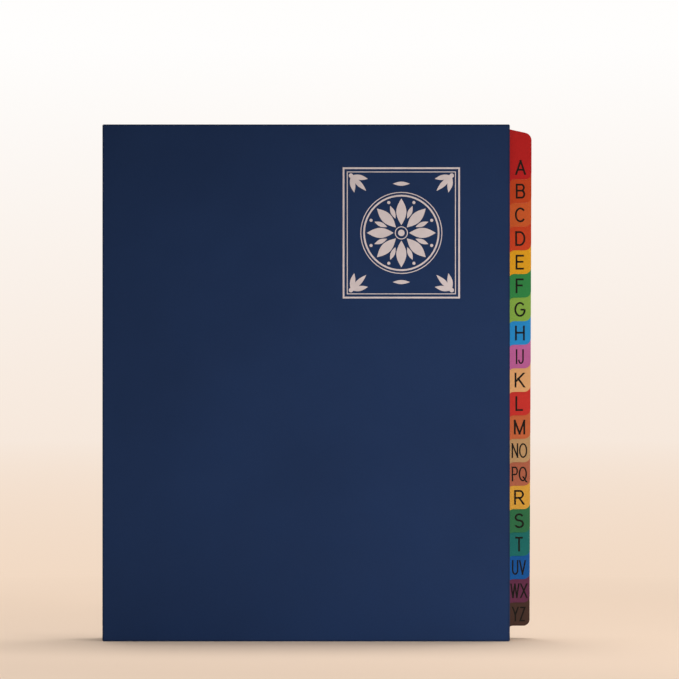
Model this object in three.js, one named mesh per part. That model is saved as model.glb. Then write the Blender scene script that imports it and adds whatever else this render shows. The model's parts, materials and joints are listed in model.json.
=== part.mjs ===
// A book-like A to Z file sorter, standing on the bottom edges of its two covers.
// Twenty index cards, each with a coloured tab, sit by their left edges in the folds of a paper bellows.
// The bellows ends in a flap on each side, bonded to a stiff cover that opens like a book's.
// Millimetres, +Z up, front cover facing -Y, spine at -X, tabs at +X.
// The origin is on the floor, under the middle of the whole sorter.

import * as THREE from 'three';

// Driving dimensions: covers
const COVER_WIDTH = 236.2;
const COVER_HEIGHT = 299.7;
const COVER_THICKNESS = 2.0;
const COVER_CORNER_RADIUS = 0.8;
const COVER_EDGE_BEVEL = 0.4;

// Driving dimensions: index cards and their tabs
const CARD_THICKNESS = 0.6;
const CARD_INSET_BELOW_COVER_ENDS = 2.6;
const CARD_INSET_FROM_COVER_SIDE = 0.5;
const CARD_CORNER_RADIUS = 1.0;
const TAB_REACH_PAST_COVER = 12.7;
const TAB_HEIGHT = 29.1;
const TAB_FOOT = 4.6;
const TAB_TOP_SLOPE = THREE.MathUtils.degToRad(12.4);
const TAB_TOP_RADIUS = 4.5;
const TAB_BOTTOM_RADIUS = 3.8;
const TAB_ROOT_FILLET = 3.5;

// Driving dimensions: the two holes that show through every card which pocket holds papers
const VIEWING_HOLE_DIAMETER = 25.4;
const UPPER_HOLE_BELOW_CARD_TOP = 82.0;
const LOWER_HOLE_BELOW_CARD_TOP = 182.0;

// Driving dimensions: bellows
const BELLOWS_PAPER = 0.2;
const BELLOWS_LEAF_DEPTH = 16.0;
const BELLOWS_FLAP_DEPTH = 12.0;
const FOLD_MOUTH = 0.3;
const FOLD_INSET_FROM_COVER_SIDE = 0.3;
const BOND_GAP = 0.15;

// Each arc is drawn with twice this many straight steps, and each eased edge with this many bevels.
const ARC_DETAIL = 3;
const EDGE_BEVEL_STEPS = 2;

const NAVY = 0x26365a;
const COVER_ROUGHNESS = 0.75;
const CARD_ROUGHNESS = 0.45;
const BELLOWS_ROUGHNESS = 0.85;

const CARDS = [
  { letters: 'a', colour: 0xa81c1c },
  { letters: 'b', colour: 0xb23e1b },
  { letters: 'c', colour: 0xbb5326 },
  { letters: 'd', colour: 0xb63c1d },
  { letters: 'e', colour: 0xca921a },
  { letters: 'f', colour: 0x2b793f },
  { letters: 'g', colour: 0x759a3f },
  { letters: 'h', colour: 0x207eba },
  { letters: 'ij', colour: 0xaa588c },
  { letters: 'k', colour: 0xca9867 },
  { letters: 'l', colour: 0xb02c26 },
  { letters: 'm', colour: 0xac5834 },
  { letters: 'no', colour: 0xa6845c },
  { letters: 'pq', colour: 0x9c5841 },
  { letters: 'r', colour: 0xc19036 },
  { letters: 's', colour: 0x29623e },
  { letters: 't', colour: 0x17605c },
  { letters: 'uv', colour: 0x104b8a },
  { letters: 'wx', colour: 0x562840 },
  { letters: 'yz', colour: 0x3f2b24 },
];

// Widths, from the spine to the tabs
const OVERALL_WIDTH = COVER_WIDTH + TAB_REACH_PAST_COVER;
const COVER_LEFT = -OVERALL_WIDTH / 2;
const COVER_RIGHT = COVER_LEFT + COVER_WIDTH;
const CARD_RIGHT = COVER_RIGHT - CARD_INSET_FROM_COVER_SIDE;
const TAB_RIGHT = COVER_RIGHT + TAB_REACH_PAST_COVER;

// Heights: the cards and the bellows stop short of the covers' ends
const CARD_BOTTOM = CARD_INSET_BELOW_COVER_ENDS;
const CARD_TOP = COVER_HEIGHT - CARD_INSET_BELOW_COVER_ENDS;
const CARD_HEIGHT = CARD_TOP - CARD_BOTTOM;
const TAB_PITCH = (CARD_HEIGHT - TAB_HEIGHT - TAB_FOOT) / (CARDS.length - 1);

// Radii of the strip's centre line: a plain fold, and a fold that wraps a card's edge
const HALF_PAPER = BELLOWS_PAPER / 2;
const PLAIN_FOLD_RADIUS = FOLD_MOUTH / 2 + HALF_PAPER;
const CARD_FOLD_RADIUS = CARD_THICKNESS / 2 + BOND_GAP + HALF_PAPER;
const CARD_LEFT = COVER_LEFT + FOLD_INSET_FROM_COVER_SIDE + HALF_PAPER + CARD_FOLD_RADIUS;
const FLAP_FOLD_X = COVER_LEFT + FOLD_INSET_FROM_COVER_SIDE + HALF_PAPER + PLAIN_FOLD_RADIUS;
const INNER_FOLD_X = CARD_LEFT + BELLOWS_LEAF_DEPTH;
const FLAP_END_X = FLAP_FOLD_X + BELLOWS_FLAP_DEPTH;

// Depths, from the front cover to the back cover
const CARD_PITCH = 2 * (CARD_FOLD_RADIUS + PLAIN_FOLD_RADIUS);
const COVER_TO_FLAP_FOLD = BOND_GAP + HALF_PAPER + PLAIN_FOLD_RADIUS;
const COVER_TO_END_CARD = COVER_TO_FLAP_FOLD + 3 * PLAIN_FOLD_RADIUS + CARD_FOLD_RADIUS;
const BLOCK_DEPTH = (CARDS.length - 1) * CARD_PITCH + 2 * COVER_TO_END_CARD;
const FRONT_COVER_INNER_FACE = -BLOCK_DEPTH / 2;
const BACK_COVER_INNER_FACE = BLOCK_DEPTH / 2;

function cardMiddle(index) {
  return FRONT_COVER_INNER_FACE + COVER_TO_END_CARD + index * CARD_PITCH;
}

// A closed outline through corners {x, y, radius}, listed counterclockwise, each rounded by an arc.
// Two arcs too large for the wall between them share it in proportion to their sizes.
function roundedShape(corners) {
  const count = corners.length;
  const walls = corners.map((corner, index) => {
    const next = corners[(index + 1) % count];
    return new THREE.Vector2(next.x - corner.x, next.y - corner.y);
  });
  const wallBefore = (index) => walls[(index + count - 1) % count];
  const turns = walls.map((wall, index) => {
    const before = wallBefore(index);
    return Math.atan2(before.cross(wall), before.dot(wall));
  });
  const tangents = turns.map((turn, index) => corners[index].radius * Math.tan(Math.abs(turn) / 2));
  const shape = new THREE.Shape();
  corners.forEach((corner, index) => {
    const roomBefore = wallBefore(index).length() / (tangents[index] + tangents[(index + count - 1) % count]);
    const roomAfter = walls[index].length() / (tangents[index] + tangents[(index + 1) % count]);
    const shrink = Math.min(1, roomBefore, roomAfter);
    const radius = corner.radius * shrink;
    const direction = wallBefore(index).angle();
    const startAngle = direction - Math.sign(turns[index]) * Math.PI / 2;
    const tangent = tangents[index] * shrink;
    const centreX = corner.x - tangent * Math.cos(direction) - radius * Math.cos(startAngle);
    const centreY = corner.y - tangent * Math.sin(direction) - radius * Math.sin(startAngle);
    shape.absarc(centreX, centreY, radius, startAngle, startAngle + turns[index], turns[index] < 0);
  });
  shape.closePath();
  return shape;
}

// A flat piece: an outline in the upright XZ plane, with its thickness along Y about the given middle.
function uprightSheet(name, shape, thickness, middle, bevel, material) {
  const geometry = new THREE.ExtrudeGeometry(shape, {
    depth: thickness - 2 * bevel,
    curveSegments: ARC_DETAIL,
    bevelEnabled: bevel > 0,
    bevelThickness: bevel,
    bevelSize: bevel,
    bevelOffset: -bevel,
    bevelSegments: EDGE_BEVEL_STEPS,
  });
  geometry.translate(0, 0, bevel - thickness / 2);
  const sheet = new THREE.Mesh(geometry, material);
  sheet.name = name;
  sheet.rotation.x = Math.PI / 2;
  sheet.position.y = middle;
  return sheet;
}

function matt(colour, roughness) {
  return new THREE.MeshStandardMaterial({ color: colour, roughness, metalness: 0 });
}

// A stiff board with slightly eased edges, flush with the floor.
function cover(name, middle) {
  const board = roundedShape([
    { x: COVER_LEFT, y: 0, radius: COVER_CORNER_RADIUS },
    { x: COVER_RIGHT, y: 0, radius: COVER_CORNER_RADIUS },
    { x: COVER_RIGHT, y: COVER_HEIGHT, radius: COVER_CORNER_RADIUS },
    { x: COVER_LEFT, y: COVER_HEIGHT, radius: COVER_CORNER_RADIUS },
  ]);
  return uprightSheet(name, board, COVER_THICKNESS, middle, COVER_EDGE_BEVEL, matt(NAVY, COVER_ROUGHNESS));
}

// A round hole, drawn as four quarter arcs.
function viewingHole(x, y) {
  const radius = VIEWING_HOLE_DIAMETER / 2;
  const quarter = Math.PI / 2;
  const hole = new THREE.Path();
  for (let arc = 4; arc > 0; arc -= 1) {
    hole.absarc(x, y, radius, arc * quarter, (arc - 1) * quarter, true);
  }
  return hole;
}

// The tab's height on the card steps down from card to card, so that every tab shows below the one before.
function cardOutline(index) {
  const tabBottom = CARD_BOTTOM + TAB_FOOT + (CARDS.length - 1 - index) * TAB_PITCH;
  const tabTopAtCard = tabBottom + TAB_HEIGHT;
  const tabTopAtTip = tabTopAtCard - (TAB_RIGHT - CARD_RIGHT) * Math.tan(TAB_TOP_SLOPE);
  const corners = [
    { x: CARD_LEFT, y: CARD_BOTTOM, radius: CARD_CORNER_RADIUS },
    { x: CARD_RIGHT, y: CARD_BOTTOM, radius: CARD_CORNER_RADIUS },
    { x: CARD_RIGHT, y: tabBottom, radius: TAB_ROOT_FILLET },
    { x: TAB_RIGHT, y: tabBottom, radius: TAB_BOTTOM_RADIUS },
    { x: TAB_RIGHT, y: tabTopAtTip, radius: TAB_TOP_RADIUS },
  ];
  if (index === 0) {
    corners.push({ x: CARD_RIGHT, y: CARD_TOP, radius: 0 });
  } else {
    corners.push({ x: CARD_RIGHT, y: tabTopAtCard, radius: TAB_ROOT_FILLET });
    corners.push({ x: CARD_RIGHT, y: CARD_TOP, radius: CARD_CORNER_RADIUS });
  }
  corners.push({ x: CARD_LEFT, y: CARD_TOP, radius: CARD_CORNER_RADIUS });
  return roundedShape(corners);
}

function divider({ letters, colour }, index) {
  const outline = cardOutline(index);
  const middleX = (CARD_LEFT + CARD_RIGHT) / 2;
  outline.holes.push(viewingHole(middleX, CARD_TOP - UPPER_HOLE_BELOW_CARD_TOP));
  outline.holes.push(viewingHole(middleX, CARD_TOP - LOWER_HOLE_BELOW_CARD_TOP));
  const card = matt(colour, CARD_ROUGHNESS);
  return uprightSheet(`divider_${letters}`, outline, CARD_THICKNESS, cardMiddle(index), 0, card);
}

// The bellows' folds in order from the front flap to the back flap.
// An outward fold lies at the spine and opens towards the tabs; an inward fold opens towards the spine.
function bellowsFolds() {
  const flapFold = (y) => ({ x: FLAP_FOLD_X, y, radius: PLAIN_FOLD_RADIUS, outward: true });
  const cardFold = (y) => ({ x: CARD_LEFT, y, radius: CARD_FOLD_RADIUS, outward: true });
  const innerFold = (y) => ({ x: INNER_FOLD_X, y, radius: PLAIN_FOLD_RADIUS, outward: false });
  const folds = [flapFold(FRONT_COVER_INNER_FACE + COVER_TO_FLAP_FOLD)];
  CARDS.forEach((card, index) => {
    folds.push(innerFold(cardMiddle(index) - CARD_PITCH / 2));
    folds.push(cardFold(cardMiddle(index)));
  });
  folds.push(innerFold(cardMiddle(CARDS.length - 1) + CARD_PITCH / 2));
  folds.push(flapFold(BACK_COVER_INNER_FACE - COVER_TO_FLAP_FOLD));
  return folds;
}

// One half-round fold of the strip's surface, walked from the front or from the back.
function addFold(strip, fold, offset, fromFront) {
  const radius = fold.radius + (fold.outward ? offset : -offset);
  const front = fold.outward ? 1.5 * Math.PI : -0.5 * Math.PI;
  const back = 0.5 * Math.PI;
  if (fromFront) {
    strip.absarc(fold.x, fold.y, radius, front, back, fold.outward);
  } else {
    strip.absarc(fold.x, fold.y, radius, back, front, !fold.outward);
  }
}

// One strip of paper, folded to and fro round every card's left edge, seen from above.
function bellows() {
  const folds = bellowsFolds();
  const firstFold = folds[0];
  const lastFold = folds[folds.length - 1];
  const frontFlapY = firstFold.y - firstFold.radius;
  const backFlapY = lastFold.y + lastFold.radius;
  const strip = new THREE.Shape();
  strip.moveTo(FLAP_END_X, frontFlapY + HALF_PAPER);
  strip.lineTo(FLAP_END_X, frontFlapY - HALF_PAPER);
  folds.forEach((fold) => addFold(strip, fold, HALF_PAPER, true));
  strip.lineTo(FLAP_END_X, backFlapY + HALF_PAPER);
  strip.lineTo(FLAP_END_X, backFlapY - HALF_PAPER);
  folds.reverse().forEach((fold) => addFold(strip, fold, -HALF_PAPER, false));
  strip.closePath();
  const geometry = new THREE.ExtrudeGeometry(strip, {
    depth: CARD_HEIGHT,
    curveSegments: ARC_DETAIL,
    bevelEnabled: false,
  });
  const mesh = new THREE.Mesh(geometry, matt(NAVY, BELLOWS_ROUGHNESS));
  mesh.name = 'spine_bellows';
  mesh.position.z = CARD_BOTTOM;
  return mesh;
}

const fileSorter = new THREE.Group();
fileSorter.add(cover('front_cover', FRONT_COVER_INNER_FACE - COVER_THICKNESS / 2));
fileSorter.add(bellows());
CARDS.forEach((card, index) => fileSorter.add(divider(card, index)));
fileSorter.add(cover('back_cover', BACK_COVER_INNER_FACE + COVER_THICKNESS / 2));

export default fileSorter;
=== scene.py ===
import json
import math

import bpy
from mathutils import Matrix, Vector
from mathutils.geometry import delaunay_2d_cdt


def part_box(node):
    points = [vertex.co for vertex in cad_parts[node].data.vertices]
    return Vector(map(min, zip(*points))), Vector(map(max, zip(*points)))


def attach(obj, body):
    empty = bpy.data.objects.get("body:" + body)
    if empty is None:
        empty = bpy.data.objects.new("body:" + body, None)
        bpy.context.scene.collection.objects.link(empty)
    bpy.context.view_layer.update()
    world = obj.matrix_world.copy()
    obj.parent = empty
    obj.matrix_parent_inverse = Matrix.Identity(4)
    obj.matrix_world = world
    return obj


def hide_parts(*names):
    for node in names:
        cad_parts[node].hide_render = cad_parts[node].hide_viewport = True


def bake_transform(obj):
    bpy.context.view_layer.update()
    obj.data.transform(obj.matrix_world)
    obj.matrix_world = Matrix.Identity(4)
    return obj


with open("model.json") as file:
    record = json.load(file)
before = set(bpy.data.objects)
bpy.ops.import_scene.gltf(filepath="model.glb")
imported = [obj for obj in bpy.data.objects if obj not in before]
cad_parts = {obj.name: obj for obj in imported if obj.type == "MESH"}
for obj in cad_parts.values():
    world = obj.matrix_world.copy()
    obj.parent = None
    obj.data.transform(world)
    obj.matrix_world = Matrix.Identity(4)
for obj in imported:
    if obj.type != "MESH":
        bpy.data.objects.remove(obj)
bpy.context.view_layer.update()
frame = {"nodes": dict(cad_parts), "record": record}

MM = 0.001

# Sizes of the card and the folded paper that the frame doesn't hold, in metres
BELLOWS_PAPER = 0.2 * MM
BOND_GAP = 0.15 * MM
FOLD_MOUTH = 0.3 * MM
FLAP_DEPTH = 12.0 * MM
CARD_INSET_FROM_COVER_SIDE = 0.5 * MM
TAB_FOOT = 4.6 * MM
TAB_HEIGHT = 29.1 * MM
PRINT_LIFT = 0.03 * MM
PRINT_START_INSIDE_CARD = 1.2 * MM
BACK_LETTER_DROP = 1.5 * MM

# The bellows' folds: the straight stretches in a half round
FOLD_STEPS = 10

# Index letters, in millimetres, and the share of its width that a letter keeps in a pair
CAP_HEIGHT = 8.6
LETTER_STROKE = 1.08
PAIR_STROKE = 0.86
PAIR_GAP = 0.4
PAIR_WIDTH_SHARE = 0.75

# Flat shapes: the turn between the points of a curve, the share of its length that a steep stroke rises,
# and the distance in millimetres below which points are merged
CURVE_STEP_DEGREES = 7.5
STEEP_RISE_SHARE = 0.4
MERGE_DISTANCE = 1e-4
LEAF_STEPS = 10
DISC_SIDES = 24

# Foil ornament on the front cover, in millimetres, its centre placed from the cover's right and top edges
ORNAMENT_FROM_RIGHT = 62.9
ORNAMENT_FROM_TOP = 62.9
ORNAMENT_WIDTH = 68.0
ORNAMENT_HEIGHT = 76.0
FOIL_LINE = 1.0
FOIL_THIN_LINE = 0.5
FRAME_GAP = 2.4
FAN_INSET = 2.4
FAN_BEAD_RADIUS = 1.3
FAN_LEAF_WIDTH = 3.0
FAN_LEAF_TURNS_AND_LENGTHS = ((-34, 10.0), (0, 12.5), (34, 10.0))
END_LEAF_LENGTH = 10.0
END_LEAF_WIDTH = 2.4
END_LEAF_FROM_ROSETTE = 5.0

# The rosette in the ornament, in millimetres. A leaf is its start, length and width, and a ring or the place
# of a bead is its radius, all as shares of the rosette's radius.
ROSETTE_RADIUS = 23.5
ROSETTE_LEAVES = 8
LONG_LEAF = (0.19, 0.66, 0.25)
SHORT_LEAF = (0.38, 0.34, 0.11)
HUB_RADIUS_SHARE = 0.08
RING_SHARES_AND_LINES = ((0.15, FOIL_THIN_LINE), (0.92, FOIL_LINE), (1.0, FOIL_THIN_LINE))
BEAD_PLACE_SHARE = 0.81
BEAD_RADIUS = 0.9

# Colours as linear light
WHITE_CARD = (0.78, 0.76, 0.71)
RUBBED_PAPER = (0.16, 0.19, 0.27)
COVER_TINT = (0.48, 0.70, 0.80)
FOIL_TINT = (1.05, 1.20, 1.30)
FLOOR_COLOUR = (0.88, 0.69, 0.54)
BACKDROP_COLOUR = (1.0, 0.99, 0.98)

# Surfaces: the range that noise mostly keeps to, alone and as the sum of two, and how little paper shines
NOISE_LOW = 0.3
NOISE_HIGH = 0.7
NOISE_SUM_LOW = 0.7
NOISE_SUM_HIGH = 1.3
PAPER_SPECULAR = 0.08
INK_SPECULAR = 0.06
STAGE_SPECULAR = 0.1

# The painted shade along a cover's edge and the wear on a fold's ridge, in metres, and the wear's streaks
EDGE_SHADE_START = 0.3 * MM
EDGE_SHADE_END = 1.3 * MM
RIDGE_WEAR_REACH = 0.25 * MM
STREAK_SCALE = (300.0, 300.0, 40.0)

# Stage, in metres: its shape, and the distances from the piece over which its colour comes to show as it is
FLOOR_RADIUS = 6.0
FLOOR_SIDES = 64
WALL_CURVE = 3.0
WALL_STEPS = 12
PLAIN_FLOOR_START = 0.3
PLAIN_FLOOR_END = 0.85

# The stage's fade to the backdrop's colour: where it starts and ends, in metres, and how far it goes
FADE_START = 0.5
FADE_HEIGHT = 0.8
FADE_OUTWARD_SHARE = 0.4
FADE_UPWARD_SHARE = 0.6

# Light: from all round, where 1 is white, and the colour of the lamps
SKY_LIGHT = 0.18
LAMP_COLOUR = (1.0, 0.99, 0.98)

# Camera, framed as the photograph is
CAMERA_DISTANCE = 3.0
CAMERA_RIGHT_OF_MIDDLE = 13.0 * MM
CAMERA_HEIGHT = 175.0 * MM
VIEW_HEIGHT = 393.6 * MM
SENSOR = 36.0

cover_low, cover_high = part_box("front_cover")
back_low, back_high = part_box("back_cover")
bellows_low, bellows_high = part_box("spine_bellows")
card_names = sorted(name for name in frame["nodes"] if name.startswith("divider_"))
card_boxes = {name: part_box(name) for name in card_names}
card_names.sort(key=lambda name: card_boxes[name][0].y)
slots = {entry["slot"]: entry for entry in frame["record"]["materials"]}


# Meshes

def new_piece(name, vertices, faces, material, smooth_angle=None):
    mesh = bpy.data.meshes.new(name)
    mesh.from_pydata(vertices, [], faces)
    mesh.validate()
    if smooth_angle is not None:
        mesh.polygons.foreach_set("use_smooth", [True] * len(mesh.polygons))
        mesh.set_sharp_from_angle(angle=math.radians(smooth_angle))
    mesh.materials.append(material)
    piece = bpy.data.objects.new(name, mesh)
    bpy.context.scene.collection.objects.link(piece)
    return piece


def counterclockwise(polygon):
    area = sum(a[0] * b[1] - b[0] * a[1] for a, b in zip(polygon, polygon[1:] + polygon[:1]))
    return polygon if area > 0 else polygon[::-1]


def flat_union(polygons):
    """Flat polygons that may overlap, as one set of points and triangles that don't."""
    points = []
    faces = []
    for polygon in polygons:
        faces.append(list(range(len(points), len(points) + len(polygon))))
        points.extend(Vector(corner) for corner in counterclockwise(polygon))
    found = delaunay_2d_cdt(points, [], faces, 0, MERGE_DISTANCE)
    corners, triangles, sources = found[0], found[2], found[5]
    return corners, [face for face, source in zip(triangles, sources) if source]


def print_on_face(name, polygons, origin, right, material):
    """Flat polygons in millimetres, laid on an upright face. The reader's right is +X at 1 and -X at -1."""
    corners, triangles = flat_union(polygons)
    vertices = [(origin.x + right * corner.x * MM, origin.y, origin.z + corner.y * MM) for corner in corners]
    return new_piece(name, vertices, triangles, material)


# Shapes drawn flat, in millimetres: every shape is a list of polygons

def bar(start, end, width):
    """A straight stroke. A flat one ends square; a steep one runs half its width on and ends level."""
    run = end[0] - start[0]
    rise = end[1] - start[1]
    length = math.hypot(run, rise)
    if abs(rise) > STEEP_RISE_SHARE * length:
        half = width * length / abs(rise) / 2
        onward = (run / abs(rise) * width / 2, math.copysign(width / 2, rise))
        start = (start[0] - onward[0], start[1] - onward[1])
        end = (end[0] + onward[0], end[1] + onward[1])
        return [[(start[0] - half, start[1]), (start[0] + half, start[1]),
                 (end[0] + half, end[1]), (end[0] - half, end[1])]]
    across = (-rise / length * width / 2, run / length * width / 2)
    return [[(start[0] + across[0], start[1] + across[1]), (start[0] - across[0], start[1] - across[1]),
             (end[0] - across[0], end[1] - across[1]), (end[0] + across[0], end[1] + across[1])]]


def arc(centre, radii, degrees, width):
    """A curved stroke along part of an ellipse, in stretches of at most a half turn."""
    stretches = max(1, math.ceil(abs(degrees[1] - degrees[0]) / 180 - 1e-9))
    sweep = (degrees[1] - degrees[0]) / stretches
    steps = max(2, math.ceil(abs(sweep) / CURVE_STEP_DEGREES))
    polygons = []
    for stretch in range(stretches):
        first = degrees[0] + stretch * sweep
        turns = [math.radians(first + sweep * step / steps) for step in range(steps + 1)]
        rings = []
        for offset in (width / 2, -width / 2):
            rings.append([(centre[0] + (radii[0] + offset) * math.cos(turn),
                           centre[1] + (radii[1] + offset) * math.sin(turn)) for turn in turns])
        polygons.append(rings[0] + rings[1][::-1])
    return polygons


# Letters. Each is its width in millimetres, then strokes in a box that runs from 0 to 1 both ways, which
# only the tail of the Q leaves. A bar is (x1, y1, x2, y2). An arc is its centre's x and y, its radius along x
# and along y, and its first and last degrees.
LETTERS = {
    "A": (6.2, [(0, 0, .5, 1), (1, 0, .5, 1), (.16, .32, .84, .32)]),
    "B": (5.5, [(0, 0, 0, 1), (0, 1, .62, 1), (0, .54, .62, .54), (0, 0, .62, 0),
                (.62, .77, .32, .23, -90, 90), (.62, .27, .38, .27, -90, 90)]),
    "C": (6.4, [(.5, .5, .5, .5, 38, 322)]),
    "D": (5.9, [(0, 0, 0, 1), (0, 1, .42, 1), (0, 0, .42, 0), (.42, .5, .58, .5, -90, 90)]),
    "E": (5.4, [(0, 0, 0, 1), (0, 1, 1, 1), (0, .53, .93, .53), (0, 0, 1, 0)]),
    "F": (5.2, [(0, 0, 0, 1), (0, 1, 1, 1), (0, .53, .86, .53)]),
    "G": (6.6, [(.5, .5, .5, .5, 42, 360), (.55, .48, 1, .48)]),
    "H": (5.7, [(0, 0, 0, 1), (1, 0, 1, 1), (0, .52, 1, .52)]),
    "I": (1.2, [(0, 0, 0, 1)]),
    "J": (4.4, [(1, .27, 1, 1), (.5, .27, .5, .27, 180, 360)]),
    "K": (6.0, [(0, 0, 0, 1), (.1, .43, .92, 1), (.34, .6, 1, 0)]),
    "L": (4.9, [(0, 0, 0, 1), (0, 0, 1, 0)]),
    "M": (6.6, [(0, 0, 0, 1), (1, 0, 1, 1), (0, 1, .5, 0), (1, 1, .5, 0)]),
    "N": (5.2, [(0, 0, 0, 1), (1, 0, 1, 1), (0, 1, 1, 0)]),
    "O": (6.5, [(.5, .5, .5, .5, 0, 360)]),
    "P": (4.9, [(0, 0, 0, 1), (0, 1, .58, 1), (0, .46, .58, .46), (.58, .73, .42, .27, -90, 90)]),
    "Q": (6.5, [(.5, .5, .5, .5, 0, 360), (.58, .26, 1.02, -.08)]),
    "R": (6.0, [(0, 0, 0, 1), (0, 1, .56, 1), (0, .46, .56, .46), (.56, .73, .38, .27, -90, 90),
                (.5, .46, 1, 0)]),
    "S": (5.6, [(.5, .76, .46, .24, 22, 270), (.5, .26, .5, .26, -158, 90)]),
    "T": (5.6, [(.5, 0, .5, 1), (0, 1, 1, 1)]),
    "U": (5.0, [(0, .3, 0, 1), (1, .3, 1, 1), (.5, .3, .5, .3, 180, 360)]),
    "V": (5.4, [(0, 1, .5, 0), (1, 1, .5, 0)]),
    "W": (7.2, [(0, 1, .25, 0), (.5, 1, .25, 0), (.5, 1, .75, 0), (1, 1, .75, 0)]),
    "X": (5.7, [(0, 0, 1, 1), (0, 1, 1, 0)]),
    "Y": (5.3, [(.5, 0, .5, .46), (0, 1, .5, .46), (1, 1, .5, .46)]),
    "Z": (4.8, [(0, 1, 1, 1), (0, 0, 1, 0), (0, 0, 1, 1)]),
}


def letter_shape(letter, left, width, stroke):
    """One letter, from its left edge, with its foot half a cap height below zero."""
    run = width - stroke
    rise = CAP_HEIGHT - stroke
    foot = -rise / 2

    def place(x, y):
        return (left + stroke / 2 + x * run, foot + y * rise)

    polygons = []
    for part in LETTERS[letter][1]:
        if len(part) == 4:
            polygons += bar(place(part[0], part[1]), place(part[2], part[3]), stroke)
        else:
            polygons += arc(place(part[0], part[1]), (part[2] * run, part[3] * rise), part[4:], stroke)
    return polygons


def label_shape(label):
    """One letter at its full width, or two narrowed side by side, centred on zero."""
    pair = len(label) > 1
    stroke = PAIR_STROKE if pair else LETTER_STROKE
    share = PAIR_WIDTH_SHARE if pair else 1.0
    widths = [max(stroke, LETTERS[letter][0] * share) for letter in label]
    left = -(sum(widths) + PAIR_GAP * (len(label) - 1)) / 2
    polygons = []
    for letter, width in zip(label, widths):
        polygons += letter_shape(letter, left, width, stroke)
        left += width + PAIR_GAP
    return polygons


# Material helpers

def node(tree, kind, inputs=None, **settings):
    made = tree.nodes.new(kind)
    for name, value in settings.items():
        setattr(made, name, value)
    for name, value in (inputs or {}).items():
        if isinstance(value, bpy.types.NodeSocket):
            tree.links.new(value, made.inputs[name])
        else:
            made.inputs[name].default_value = value
    return made


def maths(tree, operation, first, second=0.0):
    return node(tree, "ShaderNodeMath", {0: first, 1: second}, operation=operation).outputs[0]


def mixed(tree, factor, first, second):
    made = node(tree, "ShaderNodeMix", {0: factor, 6: first, 7: second}, data_type="RGBA")
    return made.outputs[2]


def ramp(tree, value, low, high, to_low=0.0, to_high=1.0):
    made = node(tree, "ShaderNodeMapRange",
                {"Value": value, "From Min": low, "From Max": high, "To Min": to_low, "To Max": to_high})
    return made.outputs[0]


def noise(tree, place, scale, detail, rough=0.5):
    made = node(tree, "ShaderNodeTexNoise",
                {"Vector": place, "Scale": scale, "Detail": detail, "Roughness": rough})
    return made.outputs["Fac"]


def spread(tree, noise_value, lowest, highest):
    """A noise value stretched over the range from lowest to highest."""
    return ramp(tree, noise_value, NOISE_LOW, NOISE_HIGH, lowest, highest)


def shaded(tree, colour, share):
    """A colour times a grey share, which may be above one."""
    made = node(tree, "ShaderNodeMix", {0: 1.0, 6: colour, 7: share},
                data_type="RGBA", blend_type="MULTIPLY")
    return made.outputs[2]


def bump(tree, height, depth, strength):
    made = node(tree, "ShaderNodeBump", {"Height": height, "Distance": depth, "Strength": strength})
    return made.outputs[0]


def new_material(name):
    """An empty material, its node tree and surface, and the place and the normal on the piece."""
    material = bpy.data.materials.new(name)
    material.use_nodes = True
    tree = material.node_tree
    place = node(tree, "ShaderNodeTexCoord")
    return material, tree, tree.nodes["Principled BSDF"], place.outputs["Object"], place.outputs["Normal"]


def finish_surface(tree, surface, colour, roughness, normal=None, metallic=0.0, specular=0.5):
    values = {"Base Color": colour, "Roughness": roughness, "Normal": normal, "Metallic": metallic}
    for name, value in values.items():
        if isinstance(value, bpy.types.NodeSocket):
            tree.links.new(value, surface.inputs[name])
        elif value is not None:
            surface.inputs[name].default_value = value
    surface.inputs["Specular IOR Level"].default_value = specular


def slot_colour(name, tint=(1.0, 1.0, 1.0)):
    return (*(channel * share for channel, share in zip(slots[name]["base_color"], tint)), 1.0)


# Materials

def cover_material(name, low, high):
    """Navy paper over board: fine grain, faint clouding, and painted shade in a darker line along each edge.
    """
    material, tree, surface, place, _normal = new_material(name)
    axes = node(tree, "ShaderNodeSeparateXYZ", {0: place}).outputs
    middle = (low + high) / 2
    half = (high - low) / 2
    across = maths(tree, "ABSOLUTE", maths(tree, "SUBTRACT", axes[0], middle.x))
    upward = maths(tree, "ABSOLUTE", maths(tree, "SUBTRACT", axes[2], middle.z))
    to_side = maths(tree, "SUBTRACT", half.x, across)
    to_end = maths(tree, "SUBTRACT", half.z, upward)
    to_edge = maths(tree, "MINIMUM", to_side, to_end)
    clouds = spread(tree, noise(tree, place, scale=14.0, detail=3.0), 0.93, 1.07)
    fibres = spread(tree, noise(tree, place, scale=900.0, detail=4.0, rough=0.65), 0.94, 1.06)
    # Painted shade: the colour darkens to 0.62 along every edge, where the board's rim falls into shade.
    painted_edge_shade = ramp(tree, to_edge, EDGE_SHADE_START, EDGE_SHADE_END, to_low=0.62)
    share = maths(tree, "MULTIPLY", maths(tree, "MULTIPLY", clouds, fibres), painted_edge_shade)
    grain = noise(tree, place, scale=1500.0, detail=5.0, rough=0.6)
    normal = bump(tree, grain, depth=0.03 * MM, strength=0.6)
    roughness = spread(tree, noise(tree, place, scale=60.0, detail=3.0), 0.58, 0.68)
    colour = shaded(tree, slot_colour("cover_navy", COVER_TINT), share)
    finish_surface(tree, surface, colour, roughness, normal, specular=PAPER_SPECULAR)
    return material


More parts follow.
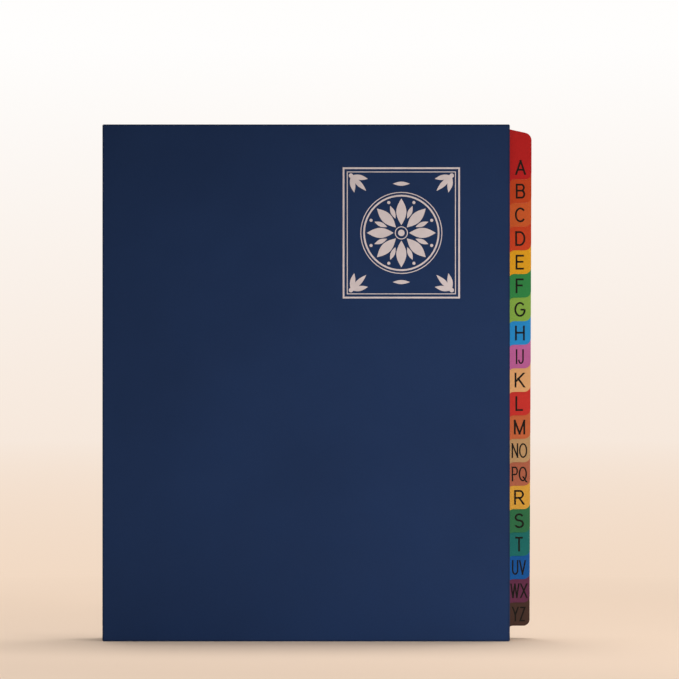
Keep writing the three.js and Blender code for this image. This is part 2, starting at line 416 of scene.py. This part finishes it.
def card_material(name, slot, card_right):
    """White card, printed in the tab's colour on both faces of the tab; the cut edges stay white."""
    material, tree, surface, place, outward = new_material(name)
    axes = node(tree, "ShaderNodeSeparateXYZ", {0: place}).outputs
    facing = maths(tree, "ABSOLUTE", node(tree, "ShaderNodeSeparateXYZ", {0: outward}).outputs[1])
    on_face = maths(tree, "GREATER_THAN", facing, 0.5)
    on_tab = maths(tree, "GREATER_THAN", axes[0], card_right - PRINT_START_INSIDE_CARD)
    printed = maths(tree, "MULTIPLY", on_face, on_tab)
    fibres = noise(tree, place, scale=1200.0, detail=4.0, rough=0.6)
    clouds = noise(tree, place, scale=45.0, detail=3.0)
    uneven = maths(tree, "ADD", fibres, clouds)
    card = shaded(tree, (*WHITE_CARD, 1.0), ramp(tree, uneven, NOISE_SUM_LOW, NOISE_SUM_HIGH, 0.95, 1.03))
    ink = shaded(tree, slot_colour(slot), ramp(tree, uneven, NOISE_SUM_LOW, NOISE_SUM_HIGH, 0.92, 1.08))
    colour = mixed(tree, printed, card, ink)
    roughness = ramp(tree, printed, 0.0, 1.0, 0.78, 0.42)
    normal = bump(tree, fibres, depth=0.012 * MM, strength=0.5)
    finish_surface(tree, surface, colour, roughness, normal, specular=PAPER_SPECULAR)
    return material


def bellows_material():
    """Dyed paper, rubbed paler along the ridge of each outward fold."""
    material, tree, surface, place, _normal = new_material("bellows_paper")
    axes = node(tree, "ShaderNodeSeparateXYZ", {0: place}).outputs
    fibres = noise(tree, place, scale=1400.0, detail=4.0, rough=0.65)
    along = node(tree, "ShaderNodeMapping", {"Vector": place, "Scale": STREAK_SCALE}).outputs[0]
    rubbed = noise(tree, along, scale=1.0, detail=4.0, rough=0.7)
    from_ridge = maths(tree, "ABSOLUTE", maths(tree, "SUBTRACT", axes[0], bellows_low.x))
    near_ridge = ramp(tree, from_ridge, 0.0, RIDGE_WEAR_REACH, 1.0, 0.0)
    wear = maths(tree, "MULTIPLY", near_ridge, ramp(tree, rubbed, 0.42, 0.66, 0.0, 0.5))
    base = shaded(tree, slot_colour("bellows_navy"), spread(tree, fibres, 0.9, 1.1))
    colour = mixed(tree, wear, base, (*RUBBED_PAPER, 1.0))
    normal = bump(tree, fibres, depth=0.02 * MM, strength=0.6)
    finish_surface(tree, surface, colour, roughness=0.72, normal=normal, specular=PAPER_SPECULAR)
    return material


def ink_material():
    """Printing ink that covers a little unevenly."""
    material, tree, surface, place, _normal = new_material("index_ink")
    share = spread(tree, noise(tree, place, scale=700.0, detail=3.0), 0.7, 1.3)
    colour = shaded(tree, slot_colour("index_ink"), share)
    finish_surface(tree, surface, colour, roughness=0.5, specular=INK_SPECULAR)
    return material


def foil_material():
    """Stamped pinkish silver foil, a little uneven."""
    material, tree, surface, place, _normal = new_material("cover_foil")
    uneven = noise(tree, place, scale=160.0, detail=4.0, rough=0.6)
    colour = shaded(tree, slot_colour("cover_foil", FOIL_TINT), spread(tree, uneven, 0.94, 1.06))
    roughness = spread(tree, uneven, 0.34, 0.46)
    grain = noise(tree, place, scale=1500.0, detail=3.0)
    normal = bump(tree, grain, depth=0.01 * MM, strength=0.5)
    finish_surface(tree, surface, colour, roughness, normal, metallic=0.25)
    return material


def stage_material():
    """A pale warm floor. Away from the piece its colour shows as it is, and fades upwards to white."""
    material, tree, surface, place, _normal = new_material("stage")
    axes = node(tree, "ShaderNodeSeparateXYZ", {0: place}).outputs
    across = maths(tree, "MULTIPLY", axes[0], axes[0])
    along = maths(tree, "MULTIPLY", axes[1], axes[1])
    distance = maths(tree, "SQRT", maths(tree, "ADD", across, along))
    outward = ramp(tree, distance, FADE_START, FLOOR_RADIUS, to_high=FADE_OUTWARD_SHARE)
    upward = ramp(tree, axes[2], 0.0, FADE_HEIGHT, to_high=FADE_UPWARD_SHARE)
    colour = mixed(tree, maths(tree, "ADD", outward, upward), (*FLOOR_COLOUR, 1.0), (*BACKDROP_COLOUR, 1.0))
    finish_surface(tree, surface, colour, roughness=0.9, specular=STAGE_SPECULAR)
    ray = node(tree, "ShaderNodeLightPath").outputs
    mirrored = maths(tree, "MAXIMUM", ray["Is Glossy Ray"], ray["Is Transmission Ray"])
    seen = maths(tree, "MAXIMUM", ray["Is Camera Ray"], mirrored)
    away = ramp(tree, distance, PLAIN_FLOOR_START, PLAIN_FLOOR_END)
    factor = maths(tree, "MULTIPLY", seen, away)
    plain = node(tree, "ShaderNodeEmission", {"Color": colour, "Strength": 1.0}).outputs[0]
    shown = node(tree, "ShaderNodeMixShader", {0: factor, 1: surface.outputs[0], 2: plain}).outputs[0]
    tree.links.new(shown, tree.nodes["Material Output"].inputs["Surface"])
    return material


# Finishes on the CAD pieces

def paint(node_name, material):
    piece = frame["nodes"][node_name]
    piece.data.materials.clear()
    piece.data.materials.append(material)


def paint_cad_pieces():
    paint("front_cover", cover_material("front_cover_paper", cover_low, cover_high))
    paint("back_cover", cover_material("back_cover_paper", back_low, back_high))
    for name in card_names:
        slot = name.replace("divider", "card")
        paint(name, card_material(slot, slot, cover_high.x - CARD_INSET_FROM_COVER_SIDE))


# Bellows

def half_round(centre, radius, left):
    """The centre line of a fold that bulges left or right, from front to back, as (x, y) points."""
    side = -1 if left else 1
    turns = [math.radians(-90 + 180 * step / FOLD_STEPS) for step in range(FOLD_STEPS + 1)]
    return [(centre[0] + side * radius * math.cos(turn), centre[1] + radius * math.sin(turn))
            for turn in turns]


def folded_paper(name, path, material):
    """A strip of paper that stands upright along a path of (x, y) points."""
    half = BELLOWS_PAPER / 2
    sections = []
    for index, point in enumerate(path):
        before = Vector(path[max(index - 1, 0)])
        after = Vector(path[min(index + 1, len(path) - 1)])
        direction = (after - before).normalized()
        across = Vector((-direction.y, direction.x)) * half
        sections.append((Vector(point) - across, Vector(point) + across))
    vertices = []
    for right_side, left_side in sections:
        for z in (bellows_low.z, bellows_high.z):
            vertices.append((right_side.x, right_side.y, z))
            vertices.append((left_side.x, left_side.y, z))
    faces = []
    for index in range(len(sections) - 1):
        here = 4 * index
        there = here + 4
        faces.append((here, there, there + 2, here + 2))
        faces.append((there + 1, here + 1, here + 3, there + 3))
        faces.append((here + 1, there + 1, there, here))
        faces.append((here + 2, there + 2, there + 3, here + 3))
    last = 4 * (len(sections) - 1)
    faces.append((0, 2, 3, 1))
    faces.append((last + 1, last + 3, last + 2, last))
    return new_piece(name, vertices, faces, material, smooth_angle=40)


def bellows():
    """The bellows in three pieces: the folds between the cards, and two ends at the covers."""
    paper = bellows_material()
    half = BELLOWS_PAPER / 2
    plain = FOLD_MOUTH / 2 + half
    first_low, first_high = card_boxes[card_names[0]]
    card_fold = (first_high.y - first_low.y) / 2 + BOND_GAP + half
    middles = [(card_boxes[name][0].y + card_boxes[name][1].y) / 2 for name in card_names]
    flap_x = bellows_low.x + half + plain
    inner_x = bellows_high.x - half - plain
    card_x = first_low.x
    front_y = cover_high.y + BOND_GAP + half + plain
    back_y = back_low.y - BOND_GAP - half - plain
    between = plain + card_fold

    folds = []
    for middle in middles:
        folds += half_round((inner_x, middle - between), plain, left=False)
        folds += half_round((card_x, middle), card_fold, left=True)
    folds += half_round((inner_x, middles[-1] + between), plain, left=False)
    block = folded_paper("bellows_folds", folds, paper)
    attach(block, "file_block")
    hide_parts("spine_bellows")

    front_path = [(flap_x + FLAP_DEPTH, front_y - plain)] + half_round((flap_x, front_y), plain, left=True)
    front_path.append((inner_x, front_y + plain))
    front_end = folded_paper("bellows_front_flap", front_path, paper)
    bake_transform(front_end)

    back_path = [(inner_x, back_y - plain)] + half_round((flap_x, back_y), plain, left=True)
    back_path.append((flap_x + FLAP_DEPTH, back_y + plain))
    back_end = folded_paper("bellows_back_flap", back_path, paper)
    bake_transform(back_end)


# Letters on the tabs

def index_letters():
    """Each tab's letters on both faces, where the next tab doesn't cover them: low in front, high behind."""
    ink = ink_material()
    first_low, first_high = card_boxes[card_names[0]]
    tab_middle = (cover_high.x + first_high.x) / 2
    count = len(card_names)
    pitch = (first_high.z - first_low.z - TAB_HEIGHT - TAB_FOOT) / (count - 1)
    for index, name in enumerate(card_names):
        low, high = card_boxes[name]
        label = name.replace("divider_", "").upper()
        tab_bottom = low.z + TAB_FOOT + (count - 1 - index) * pitch
        tab_top = tab_bottom + TAB_HEIGHT
        shapes = label_shape(label)
        front = Vector((tab_middle, low.y - PRINT_LIFT, tab_bottom + pitch / 2))
        back = Vector((tab_middle, high.y + PRINT_LIFT, tab_top - pitch / 2 - BACK_LETTER_DROP))
        for side, origin, right in (("front", front, 1), ("back", back, -1)):
            piece = print_on_face(f"letters_{label.lower()}_{side}", shapes, origin, right, ink)
            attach(piece, "file_block")


# Foil ornament

def petal(root, length, width, turn_degrees):
    """A pointed leaf that starts at root and points along the turn, made of two curved sides."""
    turn = math.radians(turn_degrees)
    sides = []
    for side in (1, -1):
        for step in range(LEAF_STEPS):
            along = step / LEAF_STEPS if side == 1 else 1 - step / LEAF_STEPS
            sides.append((along * length, side * width / 2 * math.sin(math.pi * along)))
    return [[(root[0] + x * math.cos(turn) - y * math.sin(turn),
              root[1] + x * math.sin(turn) + y * math.cos(turn)) for x, y in sides]]


def disc(centre, radius):
    turns = [math.radians(360 / DISC_SIDES * step) for step in range(DISC_SIDES)]
    return [[(centre[0] + radius * math.cos(turn), centre[1] + radius * math.sin(turn)) for turn in turns]]


def rectangle(left, bottom, right, top):
    return [[(left, bottom), (right, bottom), (right, top), (left, top)]]


def frame_lines(width, height, line):
    """A rectangle drawn with a line, measured over its outside."""
    right = width / 2
    top = height / 2
    shapes = rectangle(-right, -top, right, line - top) + rectangle(-right, top - line, right, top)
    shapes += rectangle(-right, -top, line - right, top) + rectangle(right - line, -top, right, top)
    return shapes


def around_centre(share, degrees):
    """A point of the rosette, by its share of the radius."""
    turn = math.radians(degrees)
    return (share * ROSETTE_RADIUS * math.cos(turn), share * ROSETTE_RADIUS * math.sin(turn))


def rosette_leaf(leaf, degrees):
    """A leaf that points away from the rosette's centre."""
    start, length, width = leaf
    return petal(around_centre(start, degrees), length * ROSETTE_RADIUS, width * ROSETTE_RADIUS, degrees)


def rosette():
    """Long leaves round a ringed hub, short ones between them and a bead beyond each, in a double ring."""
    shapes = disc((0, 0), HUB_RADIUS_SHARE * ROSETTE_RADIUS)
    for share, line in RING_SHARES_AND_LINES:
        shapes += arc((0, 0), (share * ROSETTE_RADIUS, share * ROSETTE_RADIUS), (0, 360), line)
    pitch = 360 / ROSETTE_LEAVES
    for step in range(ROSETTE_LEAVES):
        turn = pitch * step
        between = turn + pitch / 2
        shapes += rosette_leaf(LONG_LEAF, turn)
        shapes += rosette_leaf(SHORT_LEAF, between)
        shapes += disc(around_centre(BEAD_PLACE_SHARE, between), BEAD_RADIUS)
    return shapes


def corner_fan(right, up):
    """Three leaves that point inwards from one corner of the frame."""
    inset = FRAME_GAP + FAN_INSET
    root = (right * (ORNAMENT_WIDTH / 2 - inset), up * (ORNAMENT_HEIGHT / 2 - inset))
    inwards = math.degrees(math.atan2(-up, -right))
    shapes = disc(root, FAN_BEAD_RADIUS)
    for turn, length in FAN_LEAF_TURNS_AND_LENGTHS:
        shapes += petal(root, length, FAN_LEAF_WIDTH, inwards + turn)
    return shapes


def ornament():
    """A rosette in a double frame, with a fan of leaves in each corner and one leaf above and below."""
    shapes = rosette()
    shapes += frame_lines(ORNAMENT_WIDTH, ORNAMENT_HEIGHT, FOIL_LINE)
    shapes += frame_lines(ORNAMENT_WIDTH - 2 * FRAME_GAP, ORNAMENT_HEIGHT - 2 * FRAME_GAP, FOIL_THIN_LINE)
    for right in (-1, 1):
        for up in (-1, 1):
            shapes += corner_fan(right, up)
    for up in (-1, 1):
        leaf_root = (-END_LEAF_LENGTH / 2, up * (ROSETTE_RADIUS + END_LEAF_FROM_ROSETTE))
        shapes += petal(leaf_root, END_LEAF_LENGTH, END_LEAF_WIDTH, 0)
    origin = Vector((cover_high.x - ORNAMENT_FROM_RIGHT * MM, cover_low.y - PRINT_LIFT,
                     cover_high.z - ORNAMENT_FROM_TOP * MM))
    piece = print_on_face("foil_ornament", shapes, origin, 1, foil_material())
    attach(piece, "front_cover")


# Stage, lights and camera

def stage():
    """A round floor that curves up into a wall, wide enough for a camera on every side."""
    profile = [(0.0, 0.0), (FLOOR_RADIUS, 0.0)]
    for step in range(1, WALL_STEPS + 1):
        turn = math.radians(90 * step / WALL_STEPS)
        distance = FLOOR_RADIUS + WALL_CURVE * math.sin(turn)
        height = WALL_CURVE - WALL_CURVE * math.cos(turn)
        profile.append((distance, height))
    vertices = [(0.0, 0.0, 0.0)]
    for distance, height in profile[1:]:
        for step in range(FLOOR_SIDES):
            turn = 2 * math.pi * step / FLOOR_SIDES
            vertices.append((distance * math.cos(turn), distance * math.sin(turn), height))
    faces = [(0, 1 + step, 1 + (step + 1) % FLOOR_SIDES) for step in range(FLOOR_SIDES)]
    for ring in range(len(profile) - 2):
        for step in range(FLOOR_SIDES):
            here = 1 + ring * FLOOR_SIDES + step
            beside = 1 + ring * FLOOR_SIDES + (step + 1) % FLOOR_SIDES
            faces.append((here, here + FLOOR_SIDES, beside + FLOOR_SIDES, beside))
    new_piece("floor", vertices, faces, stage_material(), smooth_angle=60)


def lamp(light, place, target, watts):
    light.energy = watts
    light.color = LAMP_COLOUR
    made = bpy.data.objects.new(light.name, light)
    made.location = place
    made.rotation_euler = (Vector(target) - Vector(place)).to_track_quat("-Z", "Y").to_euler()
    bpy.context.scene.collection.objects.link(made)


def softbox(name, place, target, size, watts):
    light = bpy.data.lights.new(name, "AREA")
    light.size = size
    lamp(light, place, target, watts)


def soft_spot(name, place, target, cone_degrees, radius, watts):
    """A wide soft lamp that's brightest along its axis."""
    light = bpy.data.lights.new(name, "SPOT")
    light.spot_size = math.radians(cone_degrees)
    light.spot_blend = 1.0
    light.shadow_soft_size = radius
    lamp(light, place, target, watts)


def lights():
    middle = (0.0, 0.0, 0.15)
    soft_spot("key", place=(0.95, -1.25, 0.16), target=(0.14, 0.0, 0.08),
              cone_degrees=30.0, radius=0.15, watts=78.0)
    softbox("fill", place=(-1.6, -2.2, 1.0), target=middle, size=1.6, watts=1.5)
    softbox("top", place=(0.1, 0.35, 2.4), target=middle, size=1.4, watts=50.0)
    world = bpy.data.worlds.new("studio")
    world.use_nodes = True
    tree = world.node_tree
    ray = node(tree, "ShaderNodeLightPath").outputs
    sky = tree.nodes["Background"]
    sky.inputs["Color"].default_value = (*BACKDROP_COLOUR, 1.0)
    tree.links.new(ramp(tree, ray["Is Camera Ray"], 0.0, 1.0, to_low=SKY_LIGHT), sky.inputs["Strength"])
    bpy.context.scene.world = world


def camera():
    lens = bpy.data.cameras.new("camera")
    lens.sensor_width = SENSOR
    lens.lens = SENSOR * CAMERA_DISTANCE / VIEW_HEIGHT
    eye = bpy.data.objects.new("camera", lens)
    eye.location = (CAMERA_RIGHT_OF_MIDDLE, cover_low.y - CAMERA_DISTANCE, CAMERA_HEIGHT)
    eye.rotation_euler = (math.radians(90), 0, 0)
    bpy.context.scene.collection.objects.link(eye)
    bpy.context.scene.camera = eye


paint_cad_pieces()
bellows()
index_letters()
ornament()
stage()
lights()
camera()
bpy.context.scene.view_settings.view_transform = "Standard"
